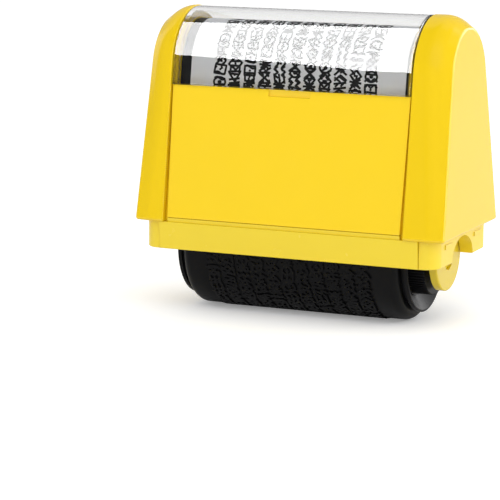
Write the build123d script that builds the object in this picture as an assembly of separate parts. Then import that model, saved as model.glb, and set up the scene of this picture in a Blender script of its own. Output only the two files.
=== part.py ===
"""A desk roller stamp that covers printed text with a masking pattern.

Millimetres. X runs along the roller, the front faces -Y and Z is up. The pieces are
drawn about the roller's middle, and are then moved so that the origin is under the
middle of the base, on the paper that the roller touches.
"""
from build123d import *
import os
from math import asin, atan2, cos, hypot, radians, sin, tan

# Driving sizes of the roller
drum_radius = 13.4
sleeve_half_length = 23.7
sleeve_wall = 2.6
sleeve_shoulder = 1.9
foam_thickness = 1.4
core_wall = 1.3
ink_hole_radius = 0.8
ink_hole_margin = 3.6
ink_hole_row_count = 5
ink_hole_ring_count = 10

# Driving sizes of the flanges, thumb wheel and stub axles
end_groove = 0.8
flange_step = 2.0
flange_rim_thickness = 0.85
flange_rim_width = 0.5
flange_edge = 0.2
dish_depth = 1.8
dish_gap = 0.3
flange_floor = 1.3
spigot_depth = 3.2
spigot_wall = 1.5
hub_wall = 1.6
seal_thickness = 0.7
filler_radius = 0.65
filler_edge = 0.4
filler_to_wheel = 1.35
thumb_wheel_width = 3.8
knurl_depth = 0.25
knurl_width = 0.36
knurl_count = 72
stub_radius = 2.4
stub_depth = 4.5
stub_recess = 0.6
stub_tip = 0.5
stub_hollow_radius = 1.2
stub_hollow_depth = 4.0

# Driving sizes of the cradle that carries the roller
arm_thickness = 1.6
arm_radius = 7.4
arm_lift = 0.7
arm_edge = 0.3
arm_boss_radius = 4.0
arm_boss_height = 0.8
bridge_half_depth = 9.0
bridge_thickness = 1.2
bridge_gap = 1.2
cradle_bump_radius = 1.2
cradle_bump_height = 0.2

# Driving sizes of the base
base_rise = 0.2
base_height = 5.7
base_corner = 3.2
base_wall = 1.4
base_edge = 0.25
corner_width = 3.8
corner_step = 0.1
left_side_gap = 2.35
right_side_gap = 1.55
drum_gap = 1.0
skirt_thickness = 1.5
skirt_draft = 0.5
arch_overlap = 1.1
arch_height = 4.65
arch_wall = 0.9
lining_gap = 0.15
tongue_height = 6.7
snap_mark_width = 4.0
snap_mark_height = 0.9
snap_mark_lift = 0.2
snap_mark_gap = 0.5
snap_mark_rise = 3.9
catch_rise = 3.7
guide_thickness = 1.0
guide_rise = 0.8

# Driving sizes of the upper housing
housing_side_step = 1.7
housing_front_step = 0.6
housing_leg_height = 30.9
roof_radius = 12.4
end_draft = radians(1.6)
bay_gap = 0.8
pillar_roof_drop = 2.4
pillar_foot_drop = 0.5
pillar_band = 3.2
pillar_band_rounding = 6.0
pillar_rounding = 0.7
pillar_foot_edge = 0.5
housing_wall = 1.5
backing_wall = 1.0
bay_edge = 0.25
deck_drop = 2.7
deck_thickness = 1.5
bay_headroom = 1.4
stop_rib_inset = 5.9
stop_rib_thickness = 1.2

# Driving sizes of the panels and the window
panel_recess = 0.6
panel_thickness = 1.0
panel_drop = 3.0
panel_top_gap = 0.3
panel_bottom_gap = 0.8
panel_edge = 0.2
ledge_height = 0.9
ledge_undercut = 0.3
nail_notch_width = 9.0
nail_notch_height = 1.4
nail_notch_depth = 0.25
window_recess = 0.15
window_thickness = 1.05
window_end_gap = 0.2
window_end_thickness = 0.85
window_card_gap = 0.4
seat_thickness = 1.2
window_edge = 0.2

# Driving sizes of the label and its carrier
carrier_end_gap = 1.15
carrier_rim = 1.6
card_shift = 0.6
carrier_wall = 1.2
carrier_end_wall = 0.9
card_thickness = 0.3
card_gap = 0.1
card_margin = 0.05

# Clearances
running_clearance = 0.05
end_float = 0.3
seam = 0.1
slide_clearance = 0.25
overrun = 1.0

# Places of the roller's pieces, from its axis outwards
axis_z = drum_radius
sleeve_inner = drum_radius - sleeve_wall
foam_outer = sleeve_inner - running_clearance
foam_inner = foam_outer - foam_thickness
core_outer = foam_inner - running_clearance
core_inner = core_outer - core_wall
plug_radius = sleeve_inner - running_clearance
flange_radius = drum_radius - flange_step
filler_from_axis = plug_radius - filler_edge - filler_radius
thumb_wheel_radius = filler_from_axis - filler_radius - filler_to_wheel
dish_floor_radius = thumb_wheel_radius + dish_gap
stub_bore = stub_radius + running_clearance

# Places along the roller, from its middle outwards
rim_inner_x = sleeve_half_length + end_groove
rim_outer_x = rim_inner_x + flange_rim_thickness
dish_floor_x = rim_outer_x - dish_depth
flange_inner_x = dish_floor_x - flange_floor
core_half_length = flange_inner_x - seal_thickness
stub_inner_x = dish_floor_x - stub_depth
wheel_outer_x = dish_floor_x + thumb_wheel_width
bay_half_width = rim_outer_x + bay_gap
stop_rib_x = bay_half_width - stop_rib_inset
carrier_half_length = bay_half_width - carrier_end_gap
card_half_length = carrier_half_length - carrier_rim

# Places that differ between the left (-1) and the right (+1), from the roller's middle outwards
SIDES = {"left": -1, "right": 1}
boss_x = {-1: dish_floor_x + end_float, 1: wheel_outer_x + end_float}
arm_inner_x = {-1: rim_outer_x + end_float, 1: boss_x[1] + arm_boss_height}
arm_outer_x = {side: x + arm_thickness for side, x in arm_inner_x.items()}
side_gap = {-1: left_side_gap, 1: right_side_gap}
base_end_x = {side: x + side_gap[side] + base_wall for side, x in arm_outer_x.items()}
skirt_end_x = {side: x - corner_width for side, x in base_end_x.items()}
housing_end_x = {side: x + housing_side_step for side, x in base_end_x.items()}
middle_x = (base_end_x[1] - base_end_x[-1]) / 2

# Heights, from the paper upwards
base_bottom_z = axis_z + base_rise
housing_bottom_z = base_bottom_z + base_height
arm_centre_z = axis_z + arm_lift
bridge_bottom_z = axis_z + drum_radius + bridge_gap
bridge_top_z = bridge_bottom_z + bridge_thickness
bay_ceiling_z = bridge_top_z + bay_headroom
roof_centre_z = housing_bottom_z + housing_leg_height
panel_top_z = roof_centre_z - panel_drop
deck_top_z = panel_top_z - deck_drop
guide_bottom_z = base_bottom_z + guide_rise
tongue_top_z = housing_bottom_z + tongue_height
catch_z = housing_bottom_z + catch_rise
snap_mark_z = base_bottom_z + snap_mark_rise

# Depths, from the roller's axis to the front and the rear
skirt_bottom_half_depth = drum_radius + drum_gap + skirt_thickness
skirt_top_half_depth = skirt_bottom_half_depth + skirt_draft
base_half_depth = skirt_bottom_half_depth - corner_step
housing_half_depth = skirt_top_half_depth + housing_front_step
arch_half_width = arm_radius - arch_overlap
snap_mark_y = arch_half_width + snap_mark_gap + snap_mark_width / 2
recess_depth = panel_recess + panel_thickness
cavity_inset = recess_depth + backing_wall
card_inset = cavity_inset + card_gap
window_end_depth = card_inset - window_card_gap


def leg_angle(foot, radius):
    """Slope of a straight leg that starts at a foot and runs into the round roof."""
    return atan2(housing_leg_height, foot) + asin(radius / hypot(foot, housing_leg_height))


lean_angle = leg_angle(housing_half_depth, roof_radius)


def half_depth_at(z, inset):
    """Half depth of the leaning housing at a height, moved in by an inset."""
    lean = (z - housing_bottom_z) / tan(lean_angle)
    return housing_half_depth - lean - inset / sin(lean_angle)


def outline_face(x, foot, low_z, radius, angle, draft=0):
    """Two straight legs that run into a round roof, drawn across the housing."""
    shoulder_y = radius * sin(angle)
    rise = roof_centre_z - housing_bottom_z
    low = low_z - housing_bottom_z
    front_foot = (-foot, low)
    front_shoulder = (-shoulder_y, rise + radius * cos(angle))
    rear_shoulder = (shoulder_y, rise + radius * cos(angle))
    rear_foot = (foot, low)
    outline = Curve() + [
        Line(front_foot, front_shoulder),
        ThreePointArc(front_shoulder, (0, rise + radius), rear_shoulder),
        Line(rear_shoulder, rear_foot),
        Line(rear_foot, front_foot),
    ]
    return leaning_plane(x, draft) * make_face(outline)


def leaning_plane(x, draft):
    """The plane across the housing at a place along its foot, leaning by an angle."""
    return Plane((x, 0, housing_bottom_z), x_dir=(0, 1, 0), z_dir=(cos(draft), 0, sin(draft)))


def arch_face(x, inset, low_z):
    """The housing's outline at the bay, moved in by an inset."""
    return outline_face(x, half_depth_at(low_z, inset), low_z, roof_radius - inset, lean_angle)


def pillar_end_face(side):
    """The smaller, leaning outline at the end of a pillar, which gives the pillar its crown."""
    foot = housing_half_depth - pillar_foot_drop
    radius = roof_radius - pillar_roof_drop
    angle = leg_angle(foot, radius)
    end_x = side * housing_end_x[side]
    return outline_face(end_x, foot, housing_bottom_z, radius, angle, side * end_draft)


def pillar_band_face(side):
    """The full outline where a pillar begins to round off towards its end."""
    x, draft = band_place(side)
    return outline_face(x, housing_half_depth, housing_bottom_z, roof_radius, lean_angle, draft)


def band_place(side):
    """Where a pillar begins to round off: its place at the foot and its lean."""
    return side * (housing_end_x[side] - pillar_band), side * end_draft


def arch_solid(x_low, x_high, inset, low_z):
    """The end outline drawn out along the roller."""
    return extrude(arch_face(x_low, inset, low_z), amount=x_high - x_low, dir=(1, 0, 0))


def arch_shell(x_low, x_high, outer_inset, inner_inset, low_z):
    """A bent sheet between two insets of the end outline."""
    outer = arch_solid(x_low, x_high, outer_inset, low_z)
    inner = arch_solid(x_low - overrun, x_high + overrun, inner_inset, low_z - overrun)
    return outer - inner


def span_box(x_low, x_high, y_low, y_high, z_low, z_high):
    """A box given by its two ends along each axis."""
    centre = ((x_low + x_high) / 2, (y_low + y_high) / 2, (z_low + z_high) / 2)
    return Pos(*centre) * Box(x_high - x_low, y_high - y_low, z_high - z_low)


def along_roller(sketch, x_low, x_high):
    """A flat drawing about the roller's axis, drawn out between two places along X."""
    plane = Plane((x_low, 0, axis_z), x_dir=(0, 1, 0), z_dir=(1, 0, 0))
    return extrude(plane * sketch, amount=x_high - x_low)


def ring(outer, inner, x_low, x_high):
    """A tube about the roller's axis."""
    return along_roller(Circle(outer) - Circle(inner), x_low, x_high)


def edges_at_x(solid, x):
    """The edges that lie wholly at one place along the roller."""
    return solid.edges().filter_by_position(Axis.X, x - seam, x + seam)


def pillar(side):
    """A crowned end pillar, with its rounded end, foot and bay edge."""
    bay_x = side * bay_half_width
    bay_face = arch_face(bay_x, 0, housing_bottom_z)
    sections = [bay_face, pillar_band_face(side), pillar_end_face(side)]
    solid = loft(sections, ruled=True)
    band = solid.edges().filter_by(lambda e: on_band(e, side)).filter_by(above_foot)
    solid = fillet(band, pillar_band_rounding)
    end = solid.faces().sort_by(Axis.X)[-1 if side > 0 else 0]
    solid = fillet(end.edges().filter_by(above_foot), pillar_rounding)
    foot = solid.faces().sort_by(Axis.Z)[0]
    solid = fillet(foot.edges().filter_by(lambda e: abs(e.center().X - bay_x) > seam), pillar_foot_edge)
    return fillet(edges_at_x(solid, bay_x).filter_by(above_foot), bay_edge)


def on_band(edge, side):
    """True for an edge in the leaning plane where a pillar begins to round off."""
    plane = leaning_plane(*band_place(side))
    return all(abs(plane.to_local_coords(edge.position_at(t)).Z) < seam for t in (0, 1 / 2, 1))


def above_foot(edge):
    """True for an edge that doesn't lie in the housing's lower plane."""
    return edge.center().Z > housing_bottom_z + running_clearance


def upper_housing():
    """Two crowned end pillars, joined by recessed front and rear walls and a deck."""
    reach = housing_half_depth + overrun
    roof_z = roof_centre_z + roof_radius + overrun
    body = arch_solid(-bay_half_width, bay_half_width, recess_depth, housing_bottom_z)
    body -= span_box(-bay_half_width, bay_half_width, -reach, reach, panel_top_z, roof_z)
    for side in SIDES.values():
        body += pillar(side)
    body -= arch_solid(-bay_half_width, bay_half_width, cavity_inset, deck_top_z)
    for side in SIDES.values():
        body += window_seat(side)
    inner_x = {side: x - housing_wall for side, x in housing_end_x.items()}
    low_z = housing_bottom_z - overrun
    ceiling = span_box(-inner_x[-1], inner_x[1], -reach, reach, low_z, bay_ceiling_z)
    body -= arch_solid(-inner_x[-1], inner_x[1], cavity_inset, low_z) & ceiling
    middle_x = bay_half_width - housing_wall
    deck_bottom_z = deck_top_z - deck_thickness
    middle = span_box(-middle_x, middle_x, -reach, reach, low_z, deck_bottom_z)
    body -= arch_solid(-middle_x, middle_x, cavity_inset, low_z) & middle
    pillar_inner = bay_half_width + housing_wall
    pillar_inset = housing_wall + pillar_roof_drop
    draft_step = (roof_z - housing_bottom_z) * tan(end_draft)
    for side in SIDES.values():
        ends = sorted((side * pillar_inner, side * (inner_x[side] - draft_step)))
        body -= arch_solid(ends[0], ends[1], pillar_inset, bay_ceiling_z)
        rib_x = side * stop_rib_x
        rib = span_box(
            rib_x - stop_rib_thickness / 2,
            rib_x + stop_rib_thickness / 2,
            -reach,
            reach,
            bridge_top_z + seam,
            deck_bottom_z,
        )
        body += rib & arch_solid(-middle_x, middle_x, cavity_inset, low_z)
    return body


def window_seat(side):
    """The bent rail on a pillar's inner side that carries the end of the clear window."""
    ends = sorted((side * (carrier_half_length + seam), side * (bay_half_width + seam)))
    seat_inset = window_end_depth + running_clearance
    return arch_shell(ends[0], ends[1], seat_inset, seat_inset + seat_thickness, deck_top_z - seam)


def panel(side):
    """The flat plate set between the pillars, on the front (-1) or the rear (+1)."""
    low_z = housing_bottom_z + ledge_height
    sheet = arch_shell(-bay_half_width, bay_half_width, panel_recess, recess_depth, low_z)
    reach = side * (housing_half_depth + overrun)
    top_x = bay_half_width - panel_top_gap
    bottom_x = bay_half_width - panel_bottom_gap
    outline = Polyline(
        (-bottom_x, low_z),
        (bottom_x, low_z),
        (top_x, panel_top_z),
        (-top_x, panel_top_z),
        close=True,
    )
    drawing = Plane.XZ * make_face(outline)
    plate = sheet & extrude(drawing, amount=-reach)
    face_y = side * half_depth_at(panel_top_z, panel_recess)
    notch = span_box(
        -nail_notch_width / 2,
        nail_notch_width / 2,
        *sorted((face_y - side * nail_notch_depth, face_y + side * overrun)),
        panel_top_z - nail_notch_height,
        panel_top_z + overrun,
    )
    front = plate.faces().sort_by(Axis.Y)[0 if side < 0 else -1]
    plate = fillet(front.edges(), panel_edge)
    return plate - notch


def skirt(side):
    """The leaning band under a panel, with a sloping ledge where it meets the panel."""
    half_ledge = bay_half_width - panel_bottom_gap
    ledge_top = housing_bottom_z + ledge_height - running_clearance
    top, bottom = skirt_top_half_depth, skirt_bottom_half_depth
    band = [
        (side * bottom, base_bottom_z),
        (side * top, housing_bottom_z),
        (side * (top - skirt_thickness), housing_bottom_z),
        (side * (bottom - skirt_thickness), base_bottom_z),
    ]
    ledge = [
        (side * (top - ledge_undercut), housing_bottom_z),
        (side * half_depth_at(ledge_top, panel_recess), ledge_top),
        (side * half_depth_at(ledge_top, recess_depth), ledge_top),
        (side * half_depth_at(housing_bottom_z, recess_depth), housing_bottom_z),
    ]
    solid = across(band, -skirt_end_x[-1], skirt_end_x[1]) + across(ledge, -half_ledge, half_ledge)
    low = solid.edges().filter_by_position(Axis.Z, base_bottom_z - seam, base_bottom_z + seam)
    front_edge = low.filter_by(Axis.X).sort_by(Axis.Y)[0 if side < 0 else -1]
    return fillet(front_edge, base_edge)


def across(points, x_low, x_high):
    """A section drawn across the housing, drawn out between two places along the roller."""
    face = make_face(Polyline(*points, close=True))
    return extrude(Plane.YZ.offset(x_low) * face, amount=x_high - x_low, dir=(1, 0, 0))


def side_frame(side):
    """A side plate with rounded corners, an arch for the arm and an inner tongue."""
    solid = frame_corner(side)
    end_x = base_end_x[side]
    inner_x = end_x - base_wall
    tongue_half_depth = half_depth_at(tongue_top_z, cavity_inset) - slide_clearance
    solid += frame_box(
        side, inner_x, end_x, 0, tongue_half_depth, housing_bottom_z - overrun, tongue_top_z
    )
    guide_y = arm_radius + slide_clearance
    catch_x = housing_end_x[side] - housing_wall
    mark_low_y, mark_high_y = snap_mark_y - snap_mark_width / 2, snap_mark_y + snap_mark_width / 2
    half_height = snap_mark_height / 2
    for end in SIDES.values():
        solid += frame_box(
            side, arm_inner_x[side], inner_x, end * guide_y, end * (guide_y + guide_thickness),
            guide_bottom_z, tongue_top_z,
        )
        solid += frame_box(
            side, inner_x, catch_x, end * mark_low_y, end * mark_high_y,
            catch_z - half_height, catch_z + half_height,
        )
        solid += frame_box(
            side, inner_x, end_x + snap_mark_lift, end * mark_low_y, end * mark_high_y,
            snap_mark_z - half_height, snap_mark_z + half_height,
        )
    lining_x = arm_outer_x[side] + lining_gap
    solid += arch_block(side, lining_x, end_x - base_edge, arch_wall)
    solid -= frame_box(
        side, lining_x - overrun, arm_outer_x[side] + cradle_bump_height + seam,
        0, cradle_bump_radius + slide_clearance, base_bottom_z - overrun, tongue_top_z + overrun,
    )
    return solid - arch_block(side, lining_x - overrun, end_x + overrun, 0)


def frame_box(side, near_x, far_x, y_one, y_two, z_low, z_high):
    """A box on one side of the stamp. A depth that starts at zero is taken to both ends."""
    y_low, y_high = sorted((y_one if y_one else -y_two, y_two))
    return span_box(*sorted((side * near_x, side * far_x)), y_low, y_high, z_low, z_high)


def arch_block(side, near_x, far_x, wall):
    """A half oval over the arm's end, from the base's lower edge upwards."""
    oval = Ellipse(arch_half_width + wall, arch_height + wall)
    upper_half = oval & Pos(0, arch_height) * Rectangle(4 * arch_half_width, 2 * arch_height)
    if not wall:
        upper_half = oval
    low_x = min(side * near_x, side * far_x)
    face = Plane.YZ.offset(low_x) * Pos(0, base_bottom_z) * upper_half
    return extrude(face, amount=far_x - near_x, dir=(1, 0, 0))


def frame_corner(side):
    """The outer band of a side plate, with its rounded corners and lower edge."""
    end_x = base_end_x[side]
    plan = RectangleRounded(2 * end_x, 2 * base_half_depth, base_corner)
    hollow = RectangleRounded(
        2 * (end_x - base_wall), 2 * (base_half_depth - base_wall), base_corner - base_wall
    )
    frame = Pos(0, 0, base_bottom_z) * extrude(plan - hollow, amount=base_height)
    frame &= frame_box(
        side, skirt_end_x[side] + seam, end_x + overrun, 0, base_half_depth + overrun,
        base_bottom_z - overrun, housing_bottom_z + overrun,
    )
    bottom = frame.edges().filter_by_position(Axis.Z, base_bottom_z - seam, base_bottom_z + seam)
    return fillet(bottom.filter_by(lambda e: edge_is_outer(e, side)), base_edge)


def edge_is_outer(edge, side):
    """True on the outer outline of a side plate, false on its inner one and its cut ends."""
    middle = edge.position_at(1 / 2)
    on_side = abs(middle.X - side * base_end_x[side]) < seam
    on_front = abs(abs(middle.Y) - base_half_depth) < seam
    corner_x = abs(middle.X) - (base_end_x[side] - base_corner)
    corner_y = abs(middle.Y) - (base_half_depth - base_corner)
    on_corner = abs(hypot(corner_x, corner_y) - base_corner) < seam
    in_corner = corner_x > 0 and corner_y > 0
    return on_side or on_front or (in_corner and on_corner)


def label_carrier():
    """The black saddle that bends the label card, with a raised rim at each end."""
    low = deck_top_z
    inner_inset = card_inset + card_thickness + carrier_wall
    seat_inset = card_inset + card_thickness
    solid = arch_shell(-carrier_half_length, carrier_half_length, seat_inset, inner_inset, low)
    for side in SIDES.values():
        rim_x = side * (card_half_length + card_margin) + card_shift
        ends = sorted((rim_x, side * carrier_half_length))
        solid += arch_shell(ends[0], ends[1], card_inset, inner_inset, low)
        wall = sorted((side * (carrier_half_length - carrier_end_wall), side * carrier_half_length))
        solid += arch_solid(wall[0], wall[1], card_inset, low)
    return solid


def label_card():
    """The printed card, bent over its carrier."""
    low = deck_top_z + seam
    return arch_shell(
        card_shift - card_half_length,
        card_shift + card_half_length,
        card_inset,
        card_inset + card_thickness,
        low,
    )


def clear_window():
    """The clear cover between the pillars, with a stiffening flange at each end."""
    low = panel_top_z + seam
    half_length = bay_half_width - window_end_gap
    shell = arch_shell(
        -half_length, half_length, window_recess, window_recess + window_thickness, low
    )
    for side in SIDES.values():
        ends = sorted((side * (half_length - window_end_thickness), side * half_length))
        shell += arch_shell(ends[0], ends[1], window_recess, window_end_depth, low)
        shell = fillet(edges_at_x(shell, side * half_length).sort_by(SortBy.LENGTH)[-1], window_edge)
    return shell


def roller_cradle():
    """The yellow cradle: a bridge over the roller and an arm down to each stub axle."""
    wide_x = {side: x - slide_clearance for side, x in arm_inner_x.items()}
    solid = Part()
    for end_x, half_depth in ((wide_x, bridge_half_depth), (arm_outer_x, arm_radius)):
        solid += span_box(
            -end_x[-1], end_x[1], -half_depth, half_depth, bridge_bottom_z, bridge_top_z
        )
    for side in SIDES.values():
        inner_x, outer_x = side * arm_inner_x[side], side * arm_outer_x[side]
        x_low, x_high = sorted((inner_x, outer_x))
        upright = span_box(x_low, x_high, -arm_radius, arm_radius, arm_centre_z, bridge_top_z)
        arm = upright + along_roller(Pos(0, arm_lift) * Circle(arm_radius), x_low, x_high)
        outer_edges = edges_at_x(arm, outer_x)
        arm = fillet(outer_edges.filter_by(lambda e: e.center().Z < bridge_top_z - seam), arm_edge)
        arm += along_roller(Circle(arm_boss_radius), *sorted((side * boss_x[side], inner_x)))
        through = sorted((side * (boss_x[side] - overrun), outer_x + side * overrun))
        arm -= along_roller(Circle(stub_bore), *through)
        bump = Pos(outer_x, 0, catch_z) * Rot(0, side * 90, 0) * Cone(
            cradle_bump_radius,
            cradle_bump_radius / 2,
            cradle_bump_height,
            align=(Align.CENTER, Align.CENTER, Align.MIN),
        )
        solid += arm + bump
    return solid


def axle_plug(side):
    """A stub axle pushed through an arm, into the flange's hub."""
    outer_x = side * (arm_outer_x[side] - stub_recess)
    inner_x = side * stub_inner_x
    solid = along_roller(Circle(stub_radius), *sorted((inner_x, outer_x)))
    solid = chamfer(edges_at_x(solid, inner_x), stub_tip)
    hollow = sorted((outer_x + side * overrun, outer_x - side * stub_hollow_depth))
    return solid - along_roller(Circle(stub_hollow_radius), *hollow)


def drum_core():
    """The perforated tube that the foam and the sleeve are slid over."""
    solid = ring(core_outer, core_inner, -core_half_length, core_half_length)
    span = 2 * (core_half_length - ink_hole_margin)
    step = span / (ink_hole_row_count - 1)
    hole = Cylinder(ink_hole_radius, 2 * core_outer + overrun)
    holes = []
    for row in range(ink_hole_row_count):
        x = row * step - span / 2
        for turn in range(ink_hole_ring_count // 2):
            angle = 360 * turn / ink_hole_ring_count
            holes.append(Pos(x, 0, axis_z) * Rot(angle, 0, 0) * hole)
    return solid - holes


def ink_foam():
    """The foam layer that feeds ink to the sleeve."""
    return ring(foam_outer, foam_inner, -core_half_length, core_half_length)


def rubber_sleeve():
    """The printing sleeve, with rounded shoulders."""
    solid = ring(drum_radius, sleeve_inner, -sleeve_half_length, sleeve_half_length)
    for side in SIDES.values():
        rim = edges_at_x(solid, side * sleeve_half_length).sort_by(SortBy.RADIUS)[-1]
        solid = fillet(rim, sleeve_shoulder)
    return solid


def turned(points, side):
    """A ring turned about the roller's axis from places along it and radii."""
    outline = Polyline(*[(side * x, axis_z + radius) for x, radius in points], close=True)
    return revolve(Plane.XZ * make_face(outline), Axis((0, 0, axis_z), (1, 0, 0)), 360)


def filler_hole(side, x_near, x_far, radius):
    """A hole or peg along X, straight above the roller's axis."""
    drawing = Pos(0, filler_from_axis) * Circle(radius)
    return along_roller(drawing, *sorted((side * x_near, side * x_far)))


def flange(side):
    """A dished end flange, with a spigot in the core and a hub on the stub axle."""
    disc = [
        (flange_inner_x, stub_bore),
        (flange_inner_x, plug_radius),
        (rim_inner_x, plug_radius),
        (rim_inner_x, flange_radius),
        (rim_outer_x, flange_radius),
        (rim_outer_x, flange_radius - flange_rim_width),
        (dish_floor_x, dish_floor_radius),
        (dish_floor_x, stub_bore),
    ]
    solid = fillet(edges_at_x(turned(disc, side), side * rim_outer_x), flange_edge)
    spigot_outer = core_inner - running_clearance
    spigot = sorted((side * (flange_inner_x - spigot_depth), side * flange_inner_x))
    solid += ring(spigot_outer, spigot_outer - spigot_wall, *spigot)
    hub = sorted((side * (stub_inner_x - stub_tip), side * flange_inner_x))
    solid += ring(stub_bore + hub_wall, stub_bore, *hub)
    reach = flange_inner_x - overrun, rim_outer_x + overrun
    return solid - filler_hole(side, *reach, filler_radius + running_clearance)


def seal(side):
    """A rubber ring that closes the end of the core and the foam."""
    ends = sorted((side * core_half_length, side * flange_inner_x))
    solid = ring(plug_radius, core_inner, *ends)
    reach = core_half_length - overrun, flange_inner_x + overrun
    return solid - filler_hole(side, *reach, filler_radius + running_clearance)


def filler_plug(side):
    """The plug that closes the ink filler hole."""
    return filler_hole(side, core_half_length, rim_outer_x - flange_edge, filler_radius)


def thumb_wheel():
    """The finely ribbed wheel on the right that turns the roller by hand."""
    root_radius = thumb_wheel_radius - knurl_depth
    body = Circle(root_radius) - Circle(stub_bore + slide_clearance)
    rib = Rectangle(2 * knurl_depth, knurl_width)
    ribs = PolarLocations(root_radius, knurl_count) * rib
    return along_roller(body + ribs, dish_floor_x, wheel_outer_x)


def build_parts():
    """Every separate piece under its own name."""
    parts = {
        "upper_housing": upper_housing(),
        "front_panel": panel(-1),
        "rear_panel": panel(1),
        "front_skirt": skirt(-1),
        "rear_skirt": skirt(1),
        "label_carrier": label_carrier(),
        "label_card": label_card(),
        "clear_window": clear_window(),
        "roller_cradle": roller_cradle(),
        "drum_core": drum_core(),
        "ink_foam": ink_foam(),
        "rubber_sleeve": rubber_sleeve(),
        "right_thumb_wheel": thumb_wheel(),
    }
    for name, side in SIDES.items():
        parts[name + "_side_frame"] = side_frame(side)
        parts[name + "_axle_plug"] = axle_plug(side)
        parts[name + "_flange"] = flange(side)
        parts[name + "_seal"] = seal(side)
        parts[name + "_filler_plug"] = filler_plug(side)
    return {name: Pos(-middle_x, 0, 0) * solid for name, solid in parts.items()}


os.makedirs("parts", exist_ok=True)
for part_name, part_solid in build_parts().items():
    export_step(part_solid, f"parts/{part_name}.step")
    print(part_name, round(part_solid.volume, 1))
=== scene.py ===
"""The looks of a desk roller stamp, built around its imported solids.

Metres. X runs along the roller, the front faces -Y and Z is up.
"""
import math
import random

import bmesh
import bpy
from mathutils import Matrix, Vector


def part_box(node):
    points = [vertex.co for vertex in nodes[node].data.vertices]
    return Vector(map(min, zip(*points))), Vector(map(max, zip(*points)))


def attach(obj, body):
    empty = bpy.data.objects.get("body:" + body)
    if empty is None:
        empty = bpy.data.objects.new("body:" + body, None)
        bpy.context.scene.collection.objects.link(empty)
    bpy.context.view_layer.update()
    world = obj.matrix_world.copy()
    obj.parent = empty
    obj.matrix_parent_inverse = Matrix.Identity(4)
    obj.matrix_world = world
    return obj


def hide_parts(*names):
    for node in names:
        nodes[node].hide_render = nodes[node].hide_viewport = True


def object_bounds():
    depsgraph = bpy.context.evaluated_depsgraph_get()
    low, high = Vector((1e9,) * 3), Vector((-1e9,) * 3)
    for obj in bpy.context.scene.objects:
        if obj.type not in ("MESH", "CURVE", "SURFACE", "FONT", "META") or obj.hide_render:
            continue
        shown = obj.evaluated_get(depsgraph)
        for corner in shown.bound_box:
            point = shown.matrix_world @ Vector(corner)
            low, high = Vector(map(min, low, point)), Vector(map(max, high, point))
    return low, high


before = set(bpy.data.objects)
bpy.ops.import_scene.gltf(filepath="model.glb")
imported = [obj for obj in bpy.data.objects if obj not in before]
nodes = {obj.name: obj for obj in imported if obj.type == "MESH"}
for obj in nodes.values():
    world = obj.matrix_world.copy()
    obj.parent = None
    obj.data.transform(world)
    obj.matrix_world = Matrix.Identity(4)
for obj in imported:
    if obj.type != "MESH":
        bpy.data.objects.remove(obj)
cad_low, cad_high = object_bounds()
MM = 0.001

# Camera, fitted to the photograph's 500 pixel frame
FOCAL_PIXELS = 2399.5
FRAME_PIXELS = 500
SENSOR_WIDTH = 36.0
CAMERA_YAW = math.radians(23.97)
CAMERA_PITCH = math.radians(10.35)
CAMERA_ROLL = math.radians(0.26)
CAMERA_DISTANCE = 497.55 * MM
AIM_SIDE = -13.69 * MM
AIM_HEIGHT = 12.78 * MM
CLIP_NEAR = 0.01
CLIP_FAR = 20

# Colours, linear
PANEL_YELLOW = (0.96, 0.66, 0.012)
HOUSING_YELLOW = (0.80, 0.545, 0.005)
BASE_YELLOW = (0.86, 0.645, 0.022)
CRADLE_YELLOW = (0.72, 0.54, 0.015)
PLASTIC_BLACK = (0.010, 0.010, 0.011)
RUBBER_BLACK = (0.004, 0.004, 0.0045)
INK_BLACK = (0.008, 0.008, 0.009)
CARD_WHITE = (0.88, 0.895, 0.92)
FOAM_BLACK = (0.012, 0.012, 0.016)
FLOOR_WHITE = (0.95, 0.95, 0.95)

# Roughness and strength of the gloss
PANEL_ROUGHNESS = 0.24
HOUSING_ROUGHNESS = 0.16
SATIN_ROUGHNESS = 0.26
RUBBER_ROUGHNESS = 0.35
SEAL_ROUGHNESS = 0.5
FOAM_ROUGHNESS = 0.8
INK_ROUGHNESS = 0.5
PLASTIC_GLOSS = 0.06
RUBBER_GLOSS = 0.1
SEAL_GLOSS = 0.2
INK_GLOSS = 0.1

# Noises in moulded plastic and rubber, and how far they change colour and gloss
MOTTLING_SIZE = 9 * MM
MOTTLING_SHARE = 0.03
SMUDGE_SIZE = 4 * MM
SMUDGE_DETAIL = 4.0
GLOSS_SHARE = 0.15
BEVEL_SAMPLES = 4
GRAIN_SIZE = 0.25 * MM
GRAIN_DEPTH = 0.002 * MM
EDGE_RADIUS = 0.12 * MM
RUBBER_GRAIN_SIZE = 0.12 * MM
RUBBER_GRAIN_DEPTH = 0.004 * MM
FOAM_GRAIN_SIZE = 0.5 * MM
FOAM_GRAIN_DEPTH = 0.05 * MM
INK_EDGE_RADIUS = 0.02 * MM

# Other surfaces
CLEAR_IOR = 1.49
CLEAR_SMUDGE_SIZE = 6 * MM
CLEAR_ROUGHNESS = 0.008
FIBRE_SIZE = 0.3 * MM
FIBRE_DETAIL = 5.0
FIBRE_SHARE = 0.03
PAPER_SMOOTH = 0.45
PAPER_ROUGH = 0.6

# Sizes of the masking pattern
PATTERN_HALF_LENGTH = 18.1 * MM
PATTERN_COLUMNS = 11
ROW_PITCH = 2.6 * MM
STROKE_WIDTH = 0.46 * MM
STROKE_STEP = 0.35 * MM
OVERLAY_SIZE = 0.85
INK_LIFT = 0.02 * MM
LAYER_LIFT = 0.002 * MM
PRINT_REACH = 20.3 * MM
PRINT_SHIFT = 0.2 * MM
PRINT_ROW_SHIFT = 0.25
PATTERN_SEED = 5
LAYER_COUNT = 7
JOIN_SHARE = 0.25
SHORTEST_SHARE = 0.01

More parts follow.
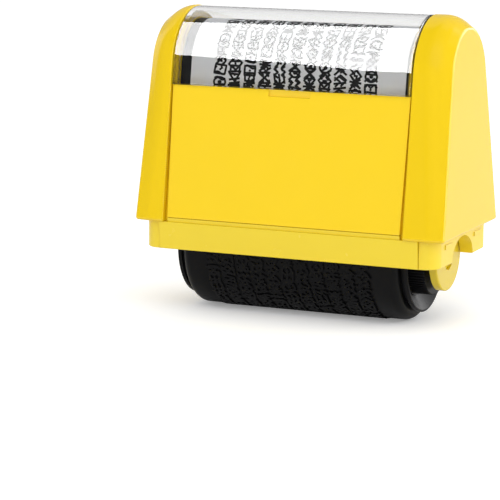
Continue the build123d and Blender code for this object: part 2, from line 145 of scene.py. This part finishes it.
# How a motif is turned and stretched in its cell, as shares of a turn and of the cell
QUARTER_TURNS = (0, 0.25, 0.5, 0.75)
TILT_SHARE = 0.03
ACROSS_SHARES = (0.98, 1.08)
ALONG_SHARES = (1.0, 1.15)
WAVE_STEPS = 16
WAVE_LENGTH_SHARE = 0.9
WAVE_HEIGHT_SHARE = 0.12
CIRCLE_STEPS = 18

# Drops below the card's top between which its round part is measured
ROOF_SAMPLE_LOW = 2.0 * MM
ROOF_SAMPLE_HIGH = 5.0 * MM

# Sizes of the printing sleeve
SLEEVE_WALL = 2.6 * MM
RELIEF_BASE = 0.3 * MM
SLEEVE_END_DROP = 0.2 * MM
DIE_EDGE = 0.25 * MM
SLEEVE_SEGMENTS = 192
SLEEVE_SHOULDER = 1.9 * MM
SHOULDER_STEPS = 10
RELIEF_DEPTH = 1.3 * RELIEF_BASE

# Angles above which an edge stays sharp
FLAT_ANGLE = math.radians(30)
TURNED_ANGLE = math.radians(35)
RIBBON_ANGLE = math.radians(40)

# Floor and world: brightness, and the directions between which the world's white wall fades
FLOOR_HALF = 3.0
FLOOR_GLOW = 0.24
WORLD_LEVEL = 0.84
FRONT_GLOSS = 0.12
WALL_DEPTHS = (-0.1, 0.25)
WALL_TOPS = (0.78, 0.83)
INNER_LOW = 6.0
INNER_HIGH = 12.0
INNER_RISE = (0.3, 1.0)

# Lamps: direction, distance, width and brightness
KEY_LAMP = ((0.35, -0.65, 0.75), 0.9, 0.7, 1.6)
SIDE_LAMP = ((0.95, 0.35, 0.25), 0.7, 0.5, 1.85)

# Reflectors: brightness at the front and the back edge, and corner directions from the object
SHEET_DISTANCE = 2.0
SHEET_MIDDLE = 45 * MM
WINDOW_GLARE = (20.0, 12.0)
WINDOW_SHEET = (
    (-0.71, -0.59, 0.71), (-0.07, -1.16, -0.16), (0.0, 0.62, 0.90), (-0.68, -0.20, 0.95),
)
SIDE_GLARE = (3.5, 3.5)
SIDE_SHEET = ((1.0, -0.35, -0.06), (0.2, 1.1, -0.06), (0.2, 1.1, 0.5), (1.0, -0.35, 0.5))
CROWN_GLARE = (0.4, 0.4)
CROWN_SHEET = ((-1.4, 0.30, 1.0), (-1.4, 1.0, 0.15), (0.3, 1.0, 0.15), (0.3, 0.30, 1.0))


def node_tree(name):
    """A new material with a Principled shader, its nodes and its links."""
    material = bpy.data.materials.new(name)
    material.use_nodes = True
    tree = material.node_tree
    return material, tree, tree.nodes["Principled BSDF"]


def add_node(tree, kind, **values):
    """A node of a kind, with its properties or its sockets' constants set by name."""
    node = tree.nodes.new(kind)
    for key, value in values.items():
        if hasattr(node, key):
            setattr(node, key, value)
        else:
            node.inputs[key.replace("_", " ")].default_value = value
    return node


def surface_noise(tree, size, detail=2.0):
    """Noise in the object's own coordinates, with features of about a size."""
    place = add_node(tree, "ShaderNodeTexCoord")
    noise = add_node(tree, "ShaderNodeTexNoise", Scale=1 / size, Detail=detail)
    tree.links.new(place.outputs["Object"], noise.inputs["Vector"])
    return noise.outputs["Fac"]


def spread(tree, source, low, high):
    """A value between two limits that follows a noise."""
    shift = add_node(tree, "ShaderNodeMapRange", To_Min=low, To_Max=high)
    tree.links.new(source, shift.inputs["Value"])
    return shift.outputs["Result"]


def tint(tree, source, colour, darkening):
    """A colour that a noise darkens a little in places."""
    mix = add_node(tree, "ShaderNodeMix", data_type="RGBA")
    mix.inputs["A"].default_value = (*colour, 1)
    mix.inputs["B"].default_value = (*[channel * (1 - darkening) for channel in colour], 1)
    tree.links.new(source, mix.inputs["Factor"])
    return mix.outputs["Result"]


def moulded(
    name, colour, roughness, grain=GRAIN_SIZE, depth=GRAIN_DEPTH, edge=EDGE_RADIUS, **sockets
):
    """Moulded plastic or rubber: faint mottling, uneven gloss, fine grain and soft edges."""
    material, tree, shader = node_tree(name)
    for key, value in sockets.items():
        shader.inputs[key.replace("_", " ")].default_value = value
    mottling = surface_noise(tree, MOTTLING_SIZE)
    tree.links.new(tint(tree, mottling, colour, MOTTLING_SHARE), shader.inputs["Base Color"])
    smudge = surface_noise(tree, SMUDGE_SIZE, SMUDGE_DETAIL)
    gloss = spread(tree, smudge, roughness * (1 - GLOSS_SHARE), roughness * (1 + GLOSS_SHARE))
    tree.links.new(gloss, shader.inputs["Roughness"])
    soft_edge = add_node(tree, "ShaderNodeBevel", samples=BEVEL_SAMPLES, Radius=edge)
    bump = add_node(tree, "ShaderNodeBump", Strength=1.0, Distance=depth)
    tree.links.new(surface_noise(tree, grain), bump.inputs["Height"])
    tree.links.new(soft_edge.outputs["Normal"], bump.inputs["Normal"])
    tree.links.new(bump.outputs["Normal"], shader.inputs["Normal"])
    return material


def clear_plastic():
    """Polished clear plastic with faint smudges."""
    material, tree, shader = node_tree("clear_plastic")
    shader.inputs["Base Color"].default_value = (1, 1, 1, 1)
    shader.inputs["Transmission Weight"].default_value = 1.0
    shader.inputs["IOR"].default_value = CLEAR_IOR
    smudge = surface_noise(tree, CLEAR_SMUDGE_SIZE, SMUDGE_DETAIL)
    tree.links.new(spread(tree, smudge, 0.0, CLEAR_ROUGHNESS), shader.inputs["Roughness"])
    return material


def paper(name, colour):
    """Coated card with a faint fibre texture."""
    material, tree, shader = node_tree(name)
    fibres = surface_noise(tree, FIBRE_SIZE, FIBRE_DETAIL)
    tree.links.new(tint(tree, fibres, colour, FIBRE_SHARE), shader.inputs["Base Color"])
    tree.links.new(spread(tree, fibres, PAPER_SMOOTH, PAPER_ROUGH), shader.inputs["Roughness"])
    return material


panel_yellow = moulded("panel_yellow", PANEL_YELLOW, PANEL_ROUGHNESS)
housing_yellow = moulded("housing_yellow", HOUSING_YELLOW, HOUSING_ROUGHNESS)
base_yellow = moulded("base_yellow", BASE_YELLOW, SATIN_ROUGHNESS)
cradle_yellow = moulded("cradle_yellow", CRADLE_YELLOW, SATIN_ROUGHNESS)
black_plastic = moulded(
    "black_plastic", PLASTIC_BLACK, SATIN_ROUGHNESS, Specular_IOR_Level=PLASTIC_GLOSS
)
black_rubber = moulded(
    "black_rubber", RUBBER_BLACK, RUBBER_ROUGHNESS,
    grain=RUBBER_GRAIN_SIZE, depth=RUBBER_GRAIN_DEPTH, Specular_IOR_Level=RUBBER_GLOSS,
)
seal_rubber = moulded("seal_rubber", RUBBER_BLACK, SEAL_ROUGHNESS, Specular_IOR_Level=SEAL_GLOSS)
inked_foam = moulded(
    "inked_foam", FOAM_BLACK, FOAM_ROUGHNESS, grain=FOAM_GRAIN_SIZE, depth=FOAM_GRAIN_DEPTH
)
printed_ink = moulded(
    "printed_ink", INK_BLACK, INK_ROUGHNESS, edge=INK_EDGE_RADIUS, Specular_IOR_Level=INK_GLOSS
)
white_card = paper("white_card", CARD_WHITE)
window_clear = clear_plastic()

MATERIAL_OF_NODE = {
    "upper_housing": housing_yellow,
    "front_panel": panel_yellow,
    "rear_panel": panel_yellow,
    "front_skirt": base_yellow,
    "rear_skirt": base_yellow,
    "roller_cradle": cradle_yellow,
    "label_carrier": black_plastic,
    "label_card": white_card,
    "clear_window": window_clear,
    "drum_core": black_plastic,
    "ink_foam": inked_foam,
    "rubber_sleeve": black_rubber,
    "right_thumb_wheel": black_plastic,
}
for side in ("left", "right"):
    MATERIAL_OF_NODE[side + "_side_frame"] = base_yellow
    MATERIAL_OF_NODE[side + "_axle_plug"] = cradle_yellow
    MATERIAL_OF_NODE[side + "_flange"] = black_plastic
    MATERIAL_OF_NODE[side + "_filler_plug"] = black_plastic
    MATERIAL_OF_NODE[side + "_seal"] = seal_rubber

for name, node in nodes.items():
    node.data.materials.clear()
    node.data.materials.append(MATERIAL_OF_NODE[name])


def finished_mesh(name, form, material, sharp_angle):
    """An object made from a bmesh, smooth but for edges sharper than an angle."""
    mesh = bpy.data.meshes.new(name)
    bmesh.ops.recalc_face_normals(form, faces=form.faces)
    form.to_mesh(mesh)
    form.free()
    mesh.shade_smooth()
    mesh.set_sharp_from_angle(angle=sharp_angle)
    mesh.materials.append(material)
    piece = bpy.data.objects.new(name, mesh)
    bpy.context.scene.collection.objects.link(piece)
    return piece


def turned(share):
    """An angle as a share of a full turn."""
    return share * 2 * math.pi


# Motifs, each a list of lines in shares of a cell, measured from its centre


def circle(radius, steps=CIRCLE_STEPS):
    """Points on a circle."""
    return [
        (radius * math.cos(turned(step / steps)), radius * math.sin(turned(step / steps)))
        for step in range(steps + 1)
    ]


def wave(height):
    """A wavy line at a height."""
    return [
        (
            WAVE_LENGTH_SHARE * (step / WAVE_STEPS - 0.5),
            height + WAVE_HEIGHT_SHARE * math.sin(turned(step / WAVE_STEPS)),
        )
        for step in range(WAVE_STEPS + 1)
    ]


def ring_and_dot():
    return [circle(0.36), circle(0.07, 8)]


def zigzags():
    teeth = [(tooth / 4.4 - 0.455, 0.13 * (-1) ** tooth) for tooth in range(5)]
    return [[(u, v - 0.24) for u, v in teeth], [(u, v + 0.24) for u, v in teeth]]


def waves():
    return [wave(-0.24), wave(0.24)]


def spokes():
    return [
        [
            (0.4 * math.cos(turned(k / 8)) * way, 0.4 * math.sin(turned(k / 8)) * way)
            for way in (-1, 1)
        ]
        for k in range(4)
    ]


def framed_dot():
    frame_line = [(-0.34, -0.34), (0.34, -0.34), (0.34, 0.34), (-0.34, 0.34), (-0.34, -0.34)]
    return [frame_line, [(-0.05, -0.05), (0.05, 0.05)]]


def hourglass():
    return [[(-0.36, -0.38), (0.36, -0.38), (-0.36, 0.38), (0.36, 0.38), (-0.36, -0.38)]]


def barred_diamond():
    return [[(0, -0.44), (0.42, 0), (0, 0.44), (-0.42, 0), (0, -0.44)], [(-0.16, 0), (0.16, 0)]]


def slanted_bars():
    return [[(-0.42, shift - 0.06), (0.42, shift + 0.06)] for shift in (-0.34, 0, 0.34)]


def dotted_triangle():
    return [[(-0.4, -0.34), (0.4, -0.34), (0, 0.38), (-0.4, -0.34)], [(0, -0.1), (0, -0.02)]]


def chevrons():
    return [[(-0.4, shift - 0.2), (0, shift + 0.2), (0.4, shift - 0.2)] for shift in (-0.2, 0.2)]


MOTIFS = (
    ring_and_dot, zigzags, waves, spokes, framed_dot,
    hourglass, barred_diamond, slanted_bars, dotted_triangle, chevrons,
)


def finely_divided(points, longest):
    """The same line with no stretch longer than a length."""
    result = [points[0]]
    for start, end in zip(points, points[1:]):
        count = max(1, math.ceil((end - start).length / longest))
        result += [start.lerp(end, k / count) for k in range(1, count + 1)]
    return result


def masking_strokes(rows, shift):
    """A generic masking pattern: a motif in each staggered cell, and a smaller one between."""
    chance = random.Random(PATTERN_SEED)
    pitch = 2 * PATTERN_HALF_LENGTH / PATTERN_COLUMNS
    strokes = []
    for column in range(PATTERN_COLUMNS):
        x = (column + 0.5) * pitch - PATTERN_HALF_LENGTH
        for row in range(rows):
            cell = row + 0.5 * (column % 2) + shift - rows / 2
            main, overlay = chance.sample(MOTIFS, 2)
            middle, between = cell * ROW_PITCH, (cell + 0.5) * ROW_PITCH
            strokes += placed_motif(chance, main(), x, middle, pitch, 1.0)
            strokes += placed_motif(chance, overlay(), x, between, pitch, OVERLAY_SIZE)
    return strokes


def placed_motif(chance, lines, centre_x, centre_s, pitch, size):
    """A motif turned by chance and set at a place, kept inside the pattern's ends."""
    angle = turned(chance.choice(QUARTER_TURNS) + chance.uniform(-TILT_SHARE, TILT_SHARE))
    across = pitch * chance.uniform(*ACROSS_SHARES) * size
    along = ROW_PITCH * chance.uniform(*ALONG_SHARES) * size
    placed = []
    for line in lines:
        points = []
        for u, v in line:
            x = centre_x + (u * math.cos(angle) - v * math.sin(angle)) * across
            s = centre_s + (u * math.sin(angle) + v * math.cos(angle)) * along
            points.append(Vector((max(-PATTERN_HALF_LENGTH, min(PATTERN_HALF_LENGTH, x)), s)))
        placed.append(finely_divided(points, STROKE_STEP))
    return placed


def stroke_ribbon(points):
    """Left and right edges of a line as wide as a stroke."""
    edges = []
    last = len(points) - 1
    closed = (points[0] - points[-1]).length < STROKE_WIDTH * JOIN_SHARE
    for k, point in enumerate(points):
        before = points[k - 1] if k else (points[-2] if closed else points[0])
        after = points[k + 1] if k < last else (points[1] if closed else points[-1])
        along = (after - before).normalized()
        across = Vector((-along.y, along.x)) * STROKE_WIDTH / 2
        edges.append((point + across, point - across))
    return edges


def pattern_mesh(name, strokes, surface, depth, material):
    """Strokes laid on a surface, as raised ribbons if they have a depth."""
    form = bmesh.new()
    shortest = STROKE_STEP * SHORTEST_SHARE
    for number, line in enumerate(strokes):
        points = [line[0]] + [b for a, b in zip(line, line[1:]) if (b - a).length > shortest]
        if len(points) < 2:
            continue
        lift = LAYER_LIFT * (number % LAYER_COUNT)
        rings = []
        for left, right in stroke_ribbon(points):
            ring = [form.verts.new(surface(left, -lift)), form.verts.new(surface(right, -lift))]
            if depth:
                ring.append(form.verts.new(surface(right, -depth)))
                ring.append(form.verts.new(surface(left, -depth)))
            rings.append(ring)
        for one, two in zip(rings, rings[1:]):
            form.faces.new((one[0], one[1], two[1], two[0]))
            if depth:
                form.faces.new((one[1], one[2], two[2], two[1]))
                form.faces.new((one[3], one[0], two[0], two[3]))
        if depth:
            form.faces.new(rings[0])
            form.faces.new(rings[-1])
    return finished_mesh(name, form, material, RIBBON_ANGLE)


def drum_surface(radius, middle_x, axis_z):
    """Places a point of the pattern on the roller."""
    def place(point, lift):
        angle = point.y / radius
        reach = radius + lift
        return Vector((
            middle_x + point.x, reach * math.sin(angle), axis_z - reach * math.cos(angle)
        ))
    return place


def card_surface(middle_x):
    """Places a point of the pattern on the bent label card, measured from the card's top."""
    low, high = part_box("label_card")
    radius = roof_radius("label_card")
    centre_z = high.z - radius
    drop = centre_z - low.z
    lean = math.atan2(drop, high.y) + math.asin(radius / math.hypot(high.y, drop))

    def place(point, lift):
        side = 1 if point.y >= 0 else -1
        along = abs(point.y)
        bend = min(along / radius, lean)
        straight = along - bend * radius
        normal = Vector((0, side * math.sin(bend), math.cos(bend)))
        down = Vector((0, side * math.cos(bend), -math.sin(bend)))
        base = Vector((middle_x + point.x, 0, centre_z)) + normal * (radius + lift + INK_LIFT)
        return base + down * straight
    return place


def roof_radius(name):
    """The radius of a bent sheet's round top, measured on its outer points."""
    places = [vertex.co for vertex in nodes[name].data.vertices]
    top = max(place.z for place in places)
    pairs = [
        (top - place.z, place.y) for place in places
        if ROOF_SAMPLE_LOW < top - place.z < ROOF_SAMPLE_HIGH
    ]
    return max((drop * drop + half * half) / (2 * drop) for drop, half in pairs)


def lathe(name, profile, middle_x, axis_z, material):
    """A closed ring turned about the roller's axis from places along it and radii."""
    form = bmesh.new()
    rings = []
    for k in range(SLEEVE_SEGMENTS):
        angle = turned(k / SLEEVE_SEGMENTS)
        rings.append([
            form.verts.new((middle_x + x, r * math.sin(angle), axis_z - r * math.cos(angle)))
            for x, r in profile
        ])
    count = len(profile)
    for k in range(SLEEVE_SEGMENTS):
        one, two = rings[k], rings[(k + 1) % SLEEVE_SEGMENTS]
        for i in range(count):
            j = (i + 1) % count
            form.faces.new((one[i], one[j], two[j], two[i]))
    return finished_mesh(name, form, material, TURNED_ANGLE)


def printing_sleeve():
    """The rubber sleeve with its rounded shoulders, and its raised masking pattern."""
    low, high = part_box("rubber_sleeve")
    radius = (high.z - low.z) / 2
    axis_z = (high.z + low.z) / 2
    middle_x = (high.x + low.x) / 2
    end_x = high.x - middle_x
    bore = radius - SLEEVE_WALL
    end_radius = radius - SLEEVE_END_DROP
    base_radius = radius - RELIEF_BASE
    die_x = PATTERN_HALF_LENGTH + STROKE_WIDTH
    right = [(die_x, base_radius), (die_x + DIE_EDGE, end_radius)]
    for step in range(SHOULDER_STEPS + 1):
        angle = math.pi / 2 * step / SHOULDER_STEPS
        right.append((
            end_x - SLEEVE_SHOULDER * (1 - math.sin(angle)),
            end_radius - SLEEVE_SHOULDER * (1 - math.cos(angle)),
        ))
    right.append((end_x, bore))
    profile = right + [(-x, r) for x, r in reversed(right)]
    sleeve = lathe("printing_sleeve", profile, middle_x, axis_z, black_rubber)
    strokes = masking_strokes(round(turned(base_radius) / ROW_PITCH), 0)
    surface = drum_surface(radius, middle_x, axis_z)
    relief = pattern_mesh("printing_relief", strokes, surface, RELIEF_DEPTH, black_rubber)
    for piece in (sleeve, relief):
        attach(piece, "drum")
        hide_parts("rubber_sleeve")


def label_print():
    """The masking pattern printed on the label card."""
    low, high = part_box("clear_window")
    place = card_surface((low.x + high.x) / 2 + PRINT_SHIFT)
    strokes = masking_strokes(round(2 * PRINT_REACH / ROW_PITCH), PRINT_ROW_SHIFT)
    strokes = [line for line in strokes if max(abs(point.y) for point in line) < PRINT_REACH]
    ink = pattern_mesh("label_print", strokes, place, 0, printed_ink)
    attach(ink, "housing")


printing_sleeve()
label_print()


def floor():
    """A plain white floor that keeps the object's shadow."""
    form = bmesh.new()
    bmesh.ops.create_grid(form, x_segments=1, y_segments=1, size=FLOOR_HALF)
    material, tree, shader = node_tree("floor_white")
    shader.inputs["Base Color"].default_value = (*FLOOR_WHITE, 1)
    shader.inputs["Roughness"].default_value = 1.0
    shader.inputs["Specular IOR Level"].default_value = 0.0
    glow = add_node(tree, "ShaderNodeEmission", Color=(1, 1, 1, 1))
    path = add_node(tree, "ShaderNodeLightPath")
    seen = add_node(tree, "ShaderNodeMath", operation="MULTIPLY")
    seen.inputs[1].default_value = FLOOR_GLOW
    tree.links.new(path.outputs["Is Camera Ray"], seen.inputs[0])
    tree.links.new(seen.outputs[0], glow.inputs["Strength"])
    both = add_node(tree, "ShaderNodeAddShader")
    tree.links.new(shader.outputs[0], both.inputs[0])
    tree.links.new(glow.outputs[0], both.inputs[1])
    tree.links.new(both.outputs[0], tree.nodes["Material Output"].inputs["Surface"])
    plane = finished_mesh("floor", form, material, FLAT_ANGLE)


def ramp(tree, source, start, end, low, high):
    """A soft step between two values as another value rises."""
    step = add_node(
        tree, "ShaderNodeMapRange", interpolation_type="SMOOTHSTEP",
        From_Min=start, From_Max=end, To_Min=low, To_Max=high,
    )
    tree.links.new(source, step.inputs["Value"])
    return step.outputs["Result"]


def feed(tree, socket, value):
    """Gives a socket a number or the value of another socket."""
    if isinstance(value, float):
        socket.default_value = value
    else:
        tree.links.new(value, socket)


def combined(tree, operation, one, two):
    """Two values joined by an operation."""
    node = add_node(tree, "ShaderNodeMath", operation=operation)
    feed(tree, node.inputs[0], one)
    feed(tree, node.inputs[1], two)
    return node.outputs[0]


def chosen(tree, factor, without, given):
    """One value where a factor is zero, another where it is one."""
    mix = add_node(tree, "ShaderNodeMix", data_type="FLOAT")
    tree.links.new(factor, mix.inputs["Factor"])
    feed(tree, mix.inputs["A"], without)
    feed(tree, mix.inputs["B"], given)
    return mix.outputs["Result"]


def world_light():
    """White behind the object, darker in front for gloss, and plain light for the rest."""
    world = bpy.data.worlds.new("studio")
    bpy.context.scene.world = world
    world.use_nodes = True
    tree = world.node_tree
    background = tree.nodes["Background"]
    background.inputs["Color"].default_value = (1, 1, 1, 1)
    place = add_node(tree, "ShaderNodeTexCoord")
    split = add_node(tree, "ShaderNodeSeparateXYZ")
    tree.links.new(place.outputs["Generated"], split.inputs[0])
    behind = ramp(tree, split.outputs["Y"], *WALL_DEPTHS, 0.0, 1.0)
    below_top = ramp(tree, split.outputs["Z"], *WALL_TOPS, 1.0, 0.0)
    wall = combined(tree, "MULTIPLY", behind, below_top)
    gloss = ramp(tree, wall, 0.0, 1.0, FRONT_GLOSS, 1.0)
    from_above = ramp(tree, split.outputs["Z"], *INNER_RISE, INNER_LOW, INNER_HIGH)
    path = add_node(tree, "ShaderNodeLightPath").outputs
    scattered = combined(tree, "GREATER_THAN", path["Diffuse Depth"], 0.5)
    undiffused = combined(tree, "LESS_THAN", path["Diffuse Depth"], 0.5)
    inner = combined(tree, "MULTIPLY", path["Is Transmission Ray"], scattered)
    through = combined(tree, "MULTIPLY", path["Is Transmission Ray"], undiffused)
    mirrored = combined(tree, "MAXIMUM", path["Is Glossy Ray"], through)
    plain = chosen(tree, inner, WORLD_LEVEL, from_above)
    unseen = chosen(tree, mirrored, plain, gloss)
    bounced = combined(tree, "SUBTRACT", path["Ray Depth"], path["Transmission Depth"])
    seen = combined(tree, "LESS_THAN", bounced, 0.5)
    level = chosen(tree, seen, unseen, 1.0)
    tree.links.new(level, background.inputs["Strength"])


def area_light(name, direction, distance, width, radiance):
    """A square light that faces the object and lights it without showing in its gloss."""
    data = bpy.data.lights.new(name, "AREA")
    data.shape = "RECTANGLE"
    data.size, data.size_y = width, width
    data.energy = radiance * math.pi * width * width
    lamp = bpy.data.objects.new(name, data)
    bpy.context.scene.collection.objects.link(lamp)
    aim = Vector(direction).normalized()
    lamp.location = Vector((0, 0, (cad_low.z + cad_high.z) / 2)) + aim * distance
    lamp.rotation_euler = aim.to_track_quat("Z", "Y").to_euler()
    for ray in ("camera", "transmission", "glossy"):
        setattr(lamp, "visible_" + ray, False)


def reflector(name, directions, levels, receivers):
    """A glowing sheet that only shows as a reflection, in all pieces or in those given."""
    middle = Vector((0, 0, SHEET_MIDDLE))
    corners = [middle + Vector(direction) * SHEET_DISTANCE for direction in directions]
    form = bmesh.new()
    form.faces.new([form.verts.new(corner) for corner in corners])
    material, tree, shader = node_tree(name)
    place = add_node(tree, "ShaderNodeTexCoord")
    split = add_node(tree, "ShaderNodeSeparateXYZ")
    tree.links.new(place.outputs["Object"], split.inputs[0])
    depths = [corner.y for corner in corners]
    level = ramp(tree, split.outputs["Y"], min(depths), max(depths), *levels)
    glow = add_node(tree, "ShaderNodeEmission", Color=(1, 1, 1, 1))
    tree.links.new(level, glow.inputs["Strength"])
    tree.links.new(glow.outputs[0], tree.nodes["Material Output"].inputs["Surface"])
    tree.nodes.remove(shader)
    sheet = finished_mesh(name, form, material, FLAT_ANGLE)
    for ray in ("camera", "diffuse", "transmission", "volume_scatter", "shadow"):
        setattr(sheet, "visible_" + ray, False)
    if receivers:
        group = bpy.data.collections.new(name + "_receivers")
        for node in receivers:
            group.objects.link(nodes[node])
        sheet.light_linking.receiver_collection = group


def lights():
    """Soft lamps for the colours, and sheets that only show as reflections."""
    area_light("key", *KEY_LAMP)
    area_light("side", *SIDE_LAMP)
    reflector("window_sheet", WINDOW_SHEET, WINDOW_GLARE, ["clear_window"])
    reflector("side_sheet", SIDE_SHEET, SIDE_GLARE, None)
    reflector("crown_sheet", CROWN_SHEET, CROWN_GLARE, ["upper_housing"])


def camera():
    """The camera at the photograph's place."""
    back = Vector((
        math.sin(CAMERA_YAW) * math.cos(CAMERA_PITCH),
        -math.cos(CAMERA_YAW) * math.cos(CAMERA_PITCH),
        math.sin(CAMERA_PITCH),
    ))
    level_right = Vector((math.cos(CAMERA_YAW), math.sin(CAMERA_YAW), 0))
    level_up = level_right.cross(-back)
    right = level_right * math.cos(CAMERA_ROLL) + level_up * math.sin(CAMERA_ROLL)
    up = level_up * math.cos(CAMERA_ROLL) - level_right * math.sin(CAMERA_ROLL)
    data = bpy.data.cameras.new("camera")
    data.sensor_width = SENSOR_WIDTH
    data.lens = FOCAL_PIXELS / FRAME_PIXELS * SENSOR_WIDTH
    data.clip_start, data.clip_end = CLIP_NEAR, CLIP_FAR
    lens = bpy.data.objects.new("camera", data)
    bpy.context.scene.collection.objects.link(lens)
    eye = right * AIM_SIDE + Vector((0, 0, AIM_HEIGHT)) + back * CAMERA_DISTANCE
    turn = Matrix((right, up, back)).transposed()
    lens.matrix_world = Matrix.Translation(eye) @ turn.to_4x4()
    bpy.context.scene.camera = lens


floor()
world_light()
lights()
camera()
bpy.context.scene.view_settings.view_transform = "Standard"
